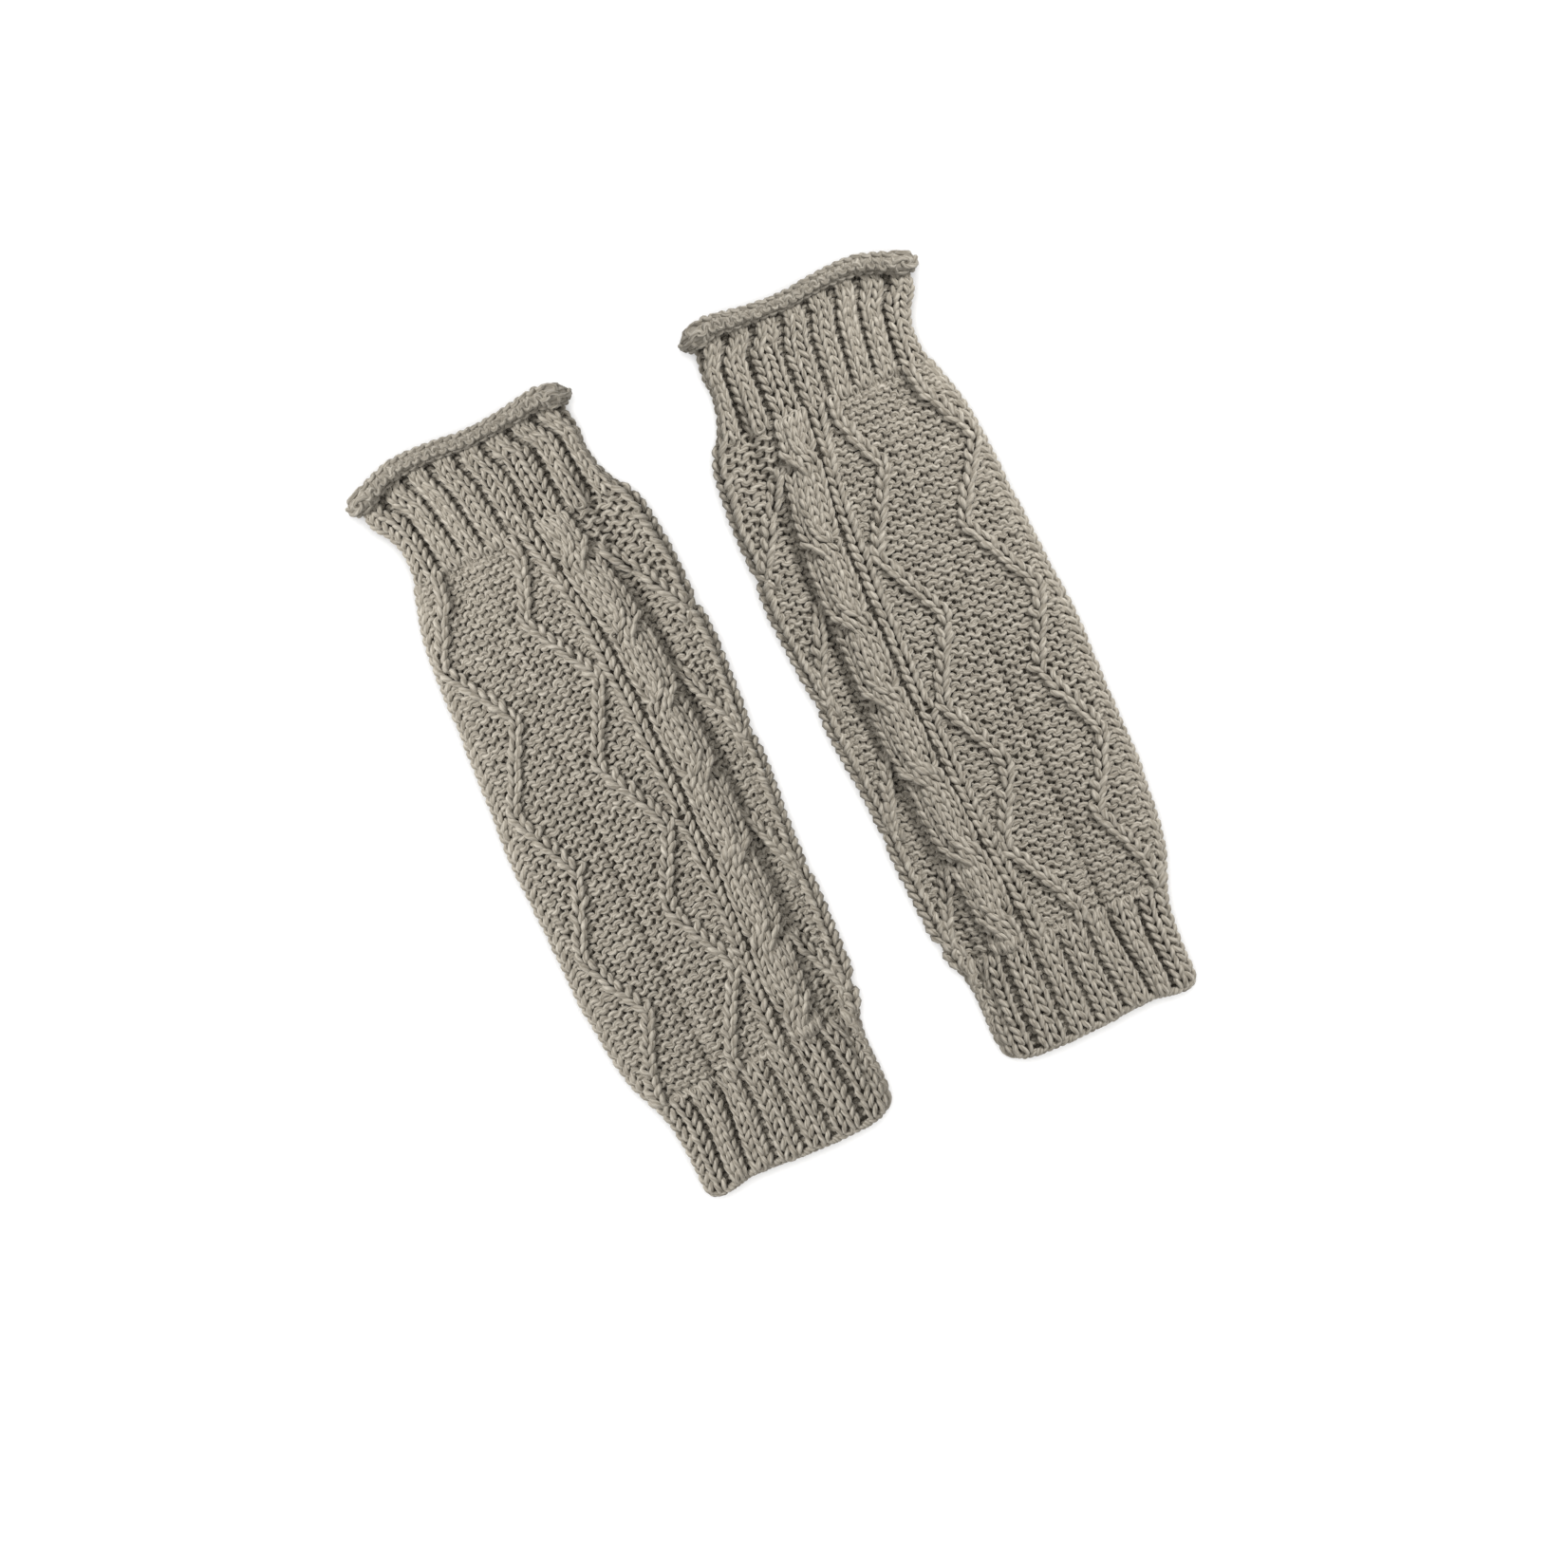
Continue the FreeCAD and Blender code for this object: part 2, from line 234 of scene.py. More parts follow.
def to_space(zone, q, l, d):
    """Slot position, place along the cloth and height over its middle -> point and normal."""
    s = zone.slot_s(q, l)
    y = np.minimum(l, Y_CURL)
    x, z, nx, nz = surface(s, y)
    up = np.clip(nz, 0, 1)
    # slightly domed upper layer, slow unevenness, and the lengthwise crease beside the middle
    xl, xr, ra, zm = section(y)
    xi = (x - (xl + xr) / 2) / ((xr - xl) / 2 + 1e-6)
    lift = -0.9 * up * np.clip(np.abs(xi), 0, 1) ** 2.5 + 0.30 * up * waves(x, y)
    u, v = x / K, y2v(y)
    off = u - np.interp(v, (720, 790, 840), (-47, -58, -62))
    lift = lift - up * np.interp(v, CREASE[:, 0], CREASE[:, 1]) * np.exp(-(off / 5.0) ** 2)
    # the deep valley that runs along the cable's outer side, and the dip beside it under the roll
    vc = np.interp(v, VALLEY[:, 0], VALLEY[:, 1])
    along = smooth01((v - 40) / 60) * smooth01((835 - v) / 70)
    away = u - vc - 2
    lift = lift - up * (4.0 * along * np.exp(-(away / np.where(away < 0, 6.5, 10.0)) ** 2)
                        + 2.4 * np.exp(-((u - 74) / 12) ** 2 - ((v - 28) / 24) ** 2))
    # beyond it the cloth falls away to the fold, more so towards the hem
    lift = lift - (0.6 + 3.2 * smooth01((v - 230) / 200) + 1.6 * smooth01((v - 520) / 120)) * up * along * np.clip(away / 26, 0, 1)
    # shallow hollows left of the middle and under the roll's right part
    lift = lift - up * (1.6 * np.exp(-((u + 55) / 15) ** 2 - ((v - 640) / 60) ** 2)
                        + 2.9 * np.exp(-((u + 67) / 13) ** 2 - ((v - 138) / 40) ** 2))
    lift = lift + 0.8 * up * along * np.exp(-((u - vc + 27) / 15) ** 2)
    lift = lift + 1.0 * up * np.exp(-((off - 11) / 7.5) ** 2) * smooth01((y2v(y) - 100) / 40) * smooth01((700 - y2v(y)) / 60)
    # where the edge curls, the stitches bed close together
    d = d * (1 - 0.42 * smooth01((l - Y_CURL) / 3.0)) + lift
    over = np.clip(l - Y_CURL, 0, ROLL[-1, 0])
    ang = np.interp(over, ROLL[:, 0], ROLL[:, 1])
    # the curl is fuller where it turns round the two ends of the mouth
    full = 1 + 0.09 * smooth01((np.abs(xi) - 0.82) / 0.16)
    dy = np.interp(over, ROLL[:, 0], ROLL[:, 2]) * full
    dn = np.interp(over, ROLL[:, 0], ROLL[:, 3]) * full
    # normal turns back as the cloth curls
    cn, sn = np.cos(ang), np.sin(ang)
    out = dn + d * cn
    px = x + nx * out
    pz = z + nz * out
    py = y + dy - d * sn
    n = np.stack([nx * cn, -sn, nz * cn], -1)
    # uneven edges
    ramp = smooth01((y - 112) / (Y_CURL - 112))
    py = py + ramp * np.interp(x / K, HAND_EDGE[:, 0], HAND_EDGE[:, 1])
    ramp = smooth01((-112 - y) / 36)
    py = py + ramp * np.interp(x / K, HEM_EDGE[:, 0], HEM_EDGE[:, 1])
    py = py + 0.45 * waves(y, x, 0.8)
    # the lower layer lies pressed flat on the table
    pz = np.where(pz < 1.75, 1.75 - 0.4 * np.tanh((1.75 - pz) / 0.4), pz)
    return np.stack([px, py, pz], -1), n


T = (np.arange(PER) + 0.5) * 2 * math.pi / PER - math.pi / PER * 0


def knit_row(zone, r, qfun, sign, relief, wide=None, shape=None, h=0.78):
    """One row's yarn, a closed line round the tube. qfun(w, rho) gives a wale's slot position,
    sign(w) is +1 for knit and -1 for purl, relief(w, rho) how far the wale stands proud,
    wide(w) how much broader than its slot a wale's loops are, shape(q) a ribbing's swell."""
    n = zone.n
    q0 = qfun(np.arange(n), np.full(n, float(r)))
    order = np.argsort(q0, kind="stable")
    left, right = np.roll(order, 1), np.roll(order, -1)
    shift_l = np.zeros((n, 1)); shift_l[0] = -n
    shift_r = np.zeros((n, 1)); shift_r[-1] = n
    jit = rng.normal(0, 1, (n, 5))
    t = T[None, :]
    w = np.repeat(order[:, None], PER, 1)
    wl = np.repeat(left[:, None], PER, 1)
    wr = np.repeat(right[:, None], PER, 1)
    sg = sign(w)
    e = -h * np.cos(t) * (1 + 0.07 * jit[:, :1]) + 0.055 * jit[:, 1:2]
    # a plain stitch's left arm runs nearly along the wale and its right arm leans
    broad = 0.0 if wide is None else 0.055 * (wide(w) > 1.2)
    half = np.where(t < math.pi, np.where(sg > 0, 0.185 + broad, 0.22), np.where(sg > 0, 0.325 - 0.6 * broad, 0.28))
    a = t / (2 * math.pi) - 0.5 + half * np.sin(2 * t) * (1 + 0.17 * jit[:, 2:3])
    win = np.sin(t / 2) ** 2
    a = a + 0.05 * jit[:, 3:4] * win
    e = np.broadcast_to(e, a.shape)
    rho = r + e
    base_k = -KNIT_D * np.cos(2 * t)
    # the left arms lie on top as one line; the right arms tuck under the next wale
    kk = 1.0 if wide is None else 1.0 - (wide(w) > 1.2)
    base_k = base_k + np.where(t < math.pi, 0.16, -0.42 * kk * smooth01((a - 0.22) / 0.25)) * win
    base_p = LOOP_D * np.cos(2 * t)
    k, kl, kr = (np.ones(a.shape),) * 3 if wide is None else (wide(w), wide(wl), wide(wr))
    q = qfun(w, rho)
    ql = qfun(wl, rho) + shift_l
    qr = qfun(wr, rho) + shift_r
    gl = np.clip(q - ql, 0.9, 1.55)
    gr = np.clip(qr - q, 0.9, 1.55)
    own = q + a * np.where(a < 0, gl, gr) * k
    at_l = ql + (a + 1) * gl * kl
    at_r = qr + (a - 1) * gr * kr
    d = np.where(sg > 0, base_k, base_p) + relief(w, rho)
    dl = np.where(sign(wl) > 0, base_k, base_p) + relief(wl, rho)
    dr = np.where(sign(wr) > 0, base_k, base_p) + relief(wr, rho)
    bl = 0.5 * (1 - smooth01(t / 0.75))
    br = 0.5 * (1 - smooth01((2 * math.pi - t) / 0.75))
    q = own * (1 - bl - br) + at_l * bl + at_r * br
    d = d * (1 - bl - br) + dl * bl + dr * br
    l = zone.row_l(rho)
    if shape is not None:
        d = d + shape(q, rho)
    p, nrm = to_space(zone, q.ravel(), l.ravel(), d.ravel())
    # the arms of a plain stitch are plump where they lie on top
    plump = 1 + (0.15 + 0.78 * (np.minimum(k, 1.4) - 1)) * np.clip(-np.cos(2 * t), 0, 1) * (sg > 0)
    thick = YARN_R * plump * (1 + 0.07 * jit[:, 4:5])
    return p, nrm, np.broadcast_to(thick, a.shape).ravel()


def soften(p, times=1):
    for _ in range(times):
        p = 0.25 * np.roll(p, 1, 0) + 0.5 * p + 0.25 * np.roll(p, -1, 0)
    return p


def yarn_tube(p, nrm, thick):
    """A closed tube along points p. Returns vertices, and the length along the yarn."""
    tan = np.roll(p, -1, 0) - np.roll(p, 1, 0)
    tan /= np.linalg.norm(tan, axis=1)[:, None] + 1e-9
    side = np.cross(tan, nrm)
    ln = np.linalg.norm(side, axis=1)[:, None]
    side = side / np.maximum(ln, 1e-6)
    up = np.cross(side, tan)
    th = np.arange(RING) * 2 * math.pi / RING
    v = p[:, None, :] + thick[:, None, None] * (
        np.cos(th)[None, :, None] * up[:, None, :] + np.sin(th)[None, :, None] * side[:, None, :])
    step = np.linalg.norm(np.roll(p, -1, 0) - p, axis=1)
    return v.reshape(-1, 3), np.concatenate([[0], np.cumsum(step)])


# ------------------------------------------------------------------ sleeve: cable, knit line, zigzags
def table(v, rows):
    return np.interp(v, [r[0] for r in rows], [r[1] for r in rows])


LINE = [(95, 22), (110, 25), (135, 30), (160, 35), (200, 39), (240, 42), (300, 43), (400, 43), (450, 42), (500, 40),
        (560, 38), (610, 35), (660, 28), (710, 25), (725, 24)]
CABLE = [(95, 50), (110, 55), (150, 60), (200, 70), (260, 77), (350, 77), (400, 78), (470, 75), (540, 70), (600, 65),
         (650, 60), (700, 60), (725, 59)]
CABLE_HALF = [(95, 16), (110, 17), (150, 20), (200, 21.5), (600, 21.5), (660, 20), (710, 17.5), (725, 17)]
sleeve = Zone(52, 57, Y_HEM, Y_HAND)


def sleeve_slots(v, y):
    total = float(girth(y))
    q = [0.0, 14.95, 16.05, 17.0, 21.0, 22.0, 26.0]
    c, k, h = table(v, LINE), table(v, CABLE), table(v, CABLE_HALF)
    k0, k1 = float(s_of_u(k - h, y)), float(s_of_u(k + h, y))
    c0, c1 = float(s_of_u(c - 7.5, y)), float(s_of_u(c + 7.5, y))
    c1 = min(c1, k0 - 1.2)
    half = total / 2
    s = [0.0, c0, c1, k0, k1, k1 + 0.62 * (half - k1) / 4.62, half]
    # back: even slots
    return q + [52.0], s + [total]


sleeve.set_slots(sleeve_slots)


def q_of_u(u, v):
    """Slot position in the sleeve of the place seen at u, v."""
    y = np.array(float(v2y(v)))
    q, s = sleeve_slots(v, y)
    return float(np.interp(float(s_of_u(u, y)), s, q))


ZIG_A = [(90, -72), (105, -80), (135, -87), (197, -117), (278, -71), (368, -119), (447, -84), (535, -121), (617, -81), (700, -112), (725, -105)]
ZIG_B = [(90, 5), (105, 6), (125, 8), (190, -18), (275, 27), (360, -16), (445, 25), (525, -16), (610, 23), (695, -24), (725, -20)]
RHO_TAB = np.arange(-1.6, 58.6, 0.1)
V_TAB = y2v(sleeve.row_l(RHO_TAB))


def path_q(points):
    vs = np.array([p[0] for p in points], float)
    qs = np.array([q_of_u(p[1], p[0]) for p in points])
    lin = np.interp(V_TAB, vs, qs)
    k = np.ones(9) / 9
    return np.convolve(np.pad(lin, 4, mode="edge"), k, "valid")


QA, QB = path_q(ZIG_A), path_q(ZIG_B)
# branch lines right of the cable: each starts beside the cable at these v and walks to the edge
STARTS = [(148, 262), (292, 408), (465, 560), (600, 695)]
# cable crosses: v of each
CROSSES = [150, 240, 325, 412, 505, 597, 682]
N_S = 52
QT = np.zeros((N_S, len(V_TAB)))
RT = np.zeros((N_S, len(V_TAB)))           # relief
ST = -np.ones((N_S, len(V_TAB)))           # knit +1, purl -1
# wale numbers: 0 edge; 1..12 ground; 13 zigzag A; 14 zigzag B; 15 line; 16 ground; 17-20 cable; 21-25 right side; 26-51 back
W_A, W_B = 13, 14


def passed(p, qt):
    """Moves ground at p one slot right of the traveller at qt, if it is right of it."""
    return p + 1 - smooth01(qt - p)


# left ground: 13 wales besides A and B fill slots 0..14 (edge wale 0 keeps slot 0)
for j in range(13):
    p = np.full(len(V_TAB), j + 0.5)
    if j:
        a_here = smooth01((QA - p))
        p = passed(p, QA)
        p = passed(p, QB)
    QT[j] = p
QT[W_A], QT[W_B] = QA, QB
QT[15] = 15.5
QT[16] = 16.5
ST[0], ST[W_A], ST[W_B], ST[15] = 1, 1, 1, 1


def bump(x, w):
    return np.exp(-(x / w) ** 2)


# ground sinks a little where a travelling line crosses over it
for j in range(1, 13):
    for qt in (QA, QB):
        RT[j] -= 0.8 * bump(QT[j] - qt, 0.5) + 0.35 * bump(QT[j] - qt, 1.1)
RT[W_A] += 1.7
RT[W_B] += 1.7
RT[15] += 1.2
RT[16] -= 1.1 + 0.4 * sum(np.exp(-((V_TAB - cv) / 26.0) ** 2) for cv in CROSSES)
RT[0] += 0.3

# rope cable: two pairs of wales swap places at each cross, the front pair leaning one way
for w, q in zip((17, 18, 19, 20), (17.5, 18.5, 19.5, 20.5)):
    QT[w] = q
    ST[w] = 1
pair = {17: 0, 18: 0, 19: 1, 20: 1}
front_extra = np.zeros((2, len(V_TAB)))
pos = np.zeros((2, len(V_TAB)))            # pair 0 starts left (at the hem), pair 1 right
pos[1] = 1
side_now = [0, 1]
ROWV = sleeve.pitch / K
for cv in sorted(CROSSES, reverse=True):
    # knitting runs from the hem up, so v falls; the front pair goes from lower left to upper right
    step = smooth01((cv - V_TAB) / (3.2 * ROWV) + 0.5)
    left_pair = 0 if side_now[0] == 0 else 1
    right_pair = 1 - left_pair
    pos[left_pair] = pos[left_pair] + step
    pos[right_pair] = pos[right_pair] - step
    b = bump(V_TAB - cv, 1.35 * ROWV)
    front_extra[left_pair] += b
    front_extra[right_pair] -= b
    side_now = [side_now[1], side_now[0]]
for w in (17, 18, 19, 20):
    k = pair[w]
    inner = (w - 17) % 2
    QT[w] = 17.5 + inner + 2 * pos[k]
    # the two wales of a pair spread while they lean across
    near = sum(bump(V_TAB - cv, 1.5 * ROWV) for cv in CROSSES)
    QT[w] = QT[w] + (inner - 0.5) * 0.85 * near
    mid = QT[w] - 19.0
    waist = sum(bump(V_TAB - cv, 2.6 * ROWV) for cv in CROSSES)
    QT[w] = 19.0 + mid * (1.06 - 0.26 * waist)
    RT[w] = 3.3 - 0.62 * mid ** 2 + np.where(front_extra[k] > 0, 1.2, 1.7) * front_extra[k]

# right of the cable: five wales take turns to walk from the cable to the edge
order = [21, 22, 23, 24, 25]
right_q = {w: np.full(len(V_TAB), 21.5 + i) for i, w in enumerate(order)}
knit_from = {w: None for w in order}
on = {w: np.zeros(len(V_TAB), bool) for w in order}
on[25] |= V_TAB < STARTS[0][1]
cur = list(order)
for i, (va, vb) in enumerate(STARTS):
    nxt = STARTS[i + 1][0] if i + 1 < len(STARTS) else 9999
    m = cur[0]
    walk = 21.5 + 4 * np.clip((V_TAB - va) / (vb - va), 0, 1)
    act = (V_TAB >= va)
    seg = act
    right_q[m] = np.where(seg, walk, right_q[m])
    for j, w in enumerate(cur[1:], 1):
        base = 21.5 + j
        right_q[w] = np.where(seg, base - smooth01(walk - (base - 1)), right_q[w])
    end = STARTS[i + 1][1] if i + 1 < len(STARTS) else 9999
    on[m] |= (V_TAB >= va + 2) & (V_TAB < end)
    cur = cur[1:] + [m]
for w in order:
    QT[w] = right_q[w]
    ST[w] = np.where(on[w], 1.0, -1.0)
    RT[w] = np.where(on[w], 1.6, 0.0)
    RT[w] -= 1.7 * bump(QT[w] - 21.4, 0.8)
for w in order:
    for o in order:
        if o != w:
            RT[w] = RT[w] - 0.7 * bump(QT[w] - QT[o], 0.45) * on[o] * (~on[w])

# back of the glove: purl ground with three plain knit lines
for w in range(26, 52):
    QT[w] = w + 0.5
for w in (30, 37, 47):
    ST[w] = 1
    RT[w] = 0.5
for a in (QT, RT):
    for w in range(N_S):
        a[w] = np.convolve(np.pad(a[w], 2, mode="edge"), np.ones(5) / 5, "valid")


def tab_read(tab, w, rho):
    x = np.clip((rho - RHO_TAB[0]) / 0.1, 0, len(RHO_TAB) - 1.001)
    i = x.astype(int)
    f = x - i
    return tab[w, i] * (1 - f) + tab[w, i + 1] * f


def sleeve_row(r):
    rr = np.array([float(r)])
    sg = np.array([tab_read(ST, np.array([w]), rr)[0] for w in range(N_S)])
    sg = np.where(sg > 0, 1.0, -1.0)
    # the right side's swaps are closed: all back wales stay put
    wide = np.where(sg > 0, 1.33, 1.0)
    wide[15] = 1.3
    wide[17:21] = 1.05 + 0.25 * float(sum(bump(float(y2v(sleeve.row_l(r))) - cv, 1.2 * ROWV) for cv in CROSSES))
    wide[0] = 1.2
    return knit_row(sleeve, r, lambda w, rho: tab_read(QT, w, rho), lambda w: sg[w],
                    lambda w, rho: tab_read(RT, w, rho), lambda w: wide[w])


# ------------------------------------------------------------------ ribbed cuffs
N_R = 48
PURL_HAND = [(8, (-95, -61, -39, -9, 27, 65, 93)), (30, (-82, -56, -30, 0, 33, 70, 100)),
             (60, (-77, -51, -26, 3, 35, 71, 102)), (105, (-73, -46, -20, 7, 37, 73, 105))]
PURL_HEM = [(705, (-84, -55, -25, 6, 37, 68, 98)), (725, (-82, -50, -24, 8, 38, 71, 105)), (760, (-80, -53, -23, 8, 37, 73, 107)),
            (790, (-83, -57, -27, 6, 37, 73, 107)), (830, (-84, -60, -30, 3, 37, 73, 106))]


def rib_slots(rows, even_from=None):
    def f(v, y):
        total = float(girth(y))
        half = total / 2
        vs = [r[0] for r in rows]
        cols = [float(np.interp(v, vs, [r[1][i] for r in rows])) for i in range(7)]
        q, s = [0.0], [0.0]
        for i, u in enumerate(cols):
            c = float(s_of_u(u, y))
            q += [2 + 3 * i, 3 + 3 * i]
            wide = 1.15 if i > 4 else 0.95
            s += [c - wide, c + wide]
        q += [23.0, 24.0]
        s += [half - 0.85, half]
        unit = half / 8
        for i in range(8):
            b = half + i * unit
            q += [24 + 3 * i + 2, 24 + 3 * i + 3]
            s += [b + unit - 1.7, b + unit]
        s[-1] = total
        q, s = np.array(q, float), np.array(s, float)
        if even_from is not None:
            k = smooth01((even_from - v) / 30)
            s = s * (1 - k) + q / N_R * total * k
        return list(q), list(s)
    return f


hem = Zone(N_R, 10, -148.1, Y_HEM)
hem.set_slots(rib_slots(PURL_HEM))
hand = Zone(N_R, 16, Y_HAND, Y_HAND + 58.6)
hand.set_slots(rib_slots(PURL_HAND, even_from=28))
rib_sign = np.where(np.arange(N_R) % 3 == 2, -1.0, 1.0)
PLAIN_FROM = 11                            # rows of the hand end from here are plain knit and curl


def rib_relief(zone, w, rho):
    deep = np.where(rib_sign[w] < 0, -1.6, 0.55)
    deep = np.where((rib_sign[w] < 0) & (w < 24), np.where((w > 16) | (w == 2), -2.7, -2.0 if zone is hand else -1.5), deep)
    if zone is hand:
        return deep * smooth01((PLAIN_FROM + 0.5 - rho) / 2.5) * (0.55 + 0.45 * smooth01((rho + 0.5) / 2))
    return deep * (0.55 + 0.45 * smooth01((9.5 - rho) / 2))


def rib_swell(zone, q, rho):
    fade = smooth01((PLAIN_FROM + 0.5 - rho) / 2.5) if zone is hand else 1.0
    return 0.4 * np.cos(2 * math.pi * (q - 1.0) / 3) * fade


def rib_row(zone, r, plain=False):
    sg = np.ones(N_R) if plain else rib_sign
    return knit_row(zone, r, lambda w, rho: w + 0.5, lambda w: sg[w], lambda w, rho: rib_relief(zone, w, rho),
                    shape=lambda q, rho: rib_swell(zone, q, rho))


# The fibres between the stitches: a thin felted layer in the cloth's own thickness, so that no
# hole is open to the inside. The layer is partly the real fuzz that closes the holes; its flat dark brown (set in the
# yarn material) is painted shade for the gaps between the stitches.
def painted_shade_felt(zone, r0, r1, relief_at, d0=-1.6):
    rho = np.arange(r0 - 0.5, r1 - 0.5 + 0.01, 0.5)
    q = np.arange(0, zone.n, 0.5)
    g, h = np.meshgrid(rho, q, indexing="ij")
    rel = np.array([relief_at(float(x), q) for x in rho])
    curled = smooth01((zone.row_l(g) - Y_CURL + 1.0) / 3.0)
    p, _ = to_space(zone, h.ravel(), zone.row_l(g).ravel(), (d0 + rel + (-0.3 - d0) * curled).ravel())
    return p, g.shape


def sleeve_relief(rho, q):
    w = np.arange(N_S)
    x = np.full(N_S, rho)
    qq, rr = tab_read(QT, w, x), tab_read(RT, w, x)
    o = np.argsort(qq)
    qq, rr = qq[o], rr[o]
    qq = np.concatenate([[qq[-1] - N_S], qq, [qq[0] + N_S]])
    rr = np.concatenate([[rr[-1]], rr, [rr[0]]])
    v = np.interp(q, qq, rr)
    return 0.25 * np.roll(v, 1) + 0.5 * v + 0.25 * np.roll(v, -1)


def rib_relief_at(zone):
    def f(rho, q):
        w = np.arange(N_R)
        v = rib_relief(zone, w, np.full(N_R, rho))
        v = np.interp(q, np.concatenate([[-0.5], w + 0.5, [N_R + 0.5]]), np.concatenate([[v[-1]], v, [v[0]]]))
        return 0.25 * np.roll(v, 1) + 0.5 * v + 0.25 * np.roll(v, -1)
    return f


# ------------------------------------------------------------------ collect the yarns of one glove
# the felt's yarn-map u is moved by this offset; at -9000 the yarn material paints it the dark brown of painted shade,
# at 0 it keeps the yarn colour
def gather(rows, layer=None, painted_shade_uv_offset=-9000):
    vs, quads, us, base = [], [], [], 0
    if layer is not None:
        p, (m, n) = layer
        i0, j0 = np.meshgrid(np.arange(m - 1), np.arange(n), indexing="ij")
        j1 = (j0 + 1) % n
        quads.append(np.stack([i0 * n + j0, i0 * n + j1, (i0 + 1) * n + j1, (i0 + 1) * n + j0], -1).reshape(-1, 4))
        ja = j0 + 1
        us.append(np.stack([j0 + painted_shade_uv_offset, i0 * 0.3, ja + painted_shade_uv_offset, i0 * 0.3, ja + painted_shade_uv_offset, (i0 + 1) * 0.3, j0 + painted_shade_uv_offset, (i0 + 1) * 0.3], -1).reshape(-1, 8))
        vs.append(p)
        base = len(p)
    for p, nrm, thick in rows:
        p = soften(p, 1)
        v, u = yarn_tube(p, nrm, thick)
        n = len(p)
        i = np.arange(n)
        j = np.arange(RING)
        i0, j0 = np.meshgrid(i, j, indexing="ij")
        i1, j1 = (i0 + 1) % n, (j0 + 1) % RING
        quads.append(np.stack([i0 * RING + j0, i1 * RING + j0, i1 * RING + j1, i0 * RING + j1], -1).reshape(-1, 4) + base)
        ua, ub = u[i0], u[i0 + 1]
        va, vb = j0 / RING, (j0 + 1) / RING
        us.append(np.stack([ua, va, ub, va, ub, vb, ua, vb], -1).reshape(-1, 8))
        vs.append(v)
        base += len(v)
    return np.concatenate(vs), np.concatenate(quads), np.concatenate(us)


def edge_rope():
    """The cast-on edge: two strands twisted round the lowest loops."""
    rows = []
    n = N_R * 12
    for ph in (0, math.pi):
        t = np.arange(n) / n
        q = t * N_R
        turn = t * N_R * 2 * math.pi + ph
        l = np.full(n, hem.l0 - 0.35) + 0.75 * np.cos(turn)
        d = 0.95 * np.sin(turn) - 0.2
        p, nrm = to_space(hem, q, l, d)
        rows.append((p, nrm, np.full(n, YARN_R * 0.95)))
    return rows


groups = {}
hem_rows = [rib_row(hem, r) for r in range(hem.rows)]
groups["cast_on_rope"] = edge_rope()
groups["hem_rib"] = hem_rows
sleeve_rows = [sleeve_row(r) for r in range(sleeve.rows)]
cuts = [0, 14, 28, 43, 57]
for i in range(4):
    groups["sleeve_knit_%d" % (i + 1)] = sleeve_rows[cuts[i]:cuts[i + 1]]
hand_rows = [rib_row(hand, r, plain=r >= PLAIN_FROM) for r in range(hand.rows)]
groups["hand_rib"] = hand_rows[:PLAIN_FROM]
groups["rolled_edge_knit"] = hand_rows[PLAIN_FROM:]
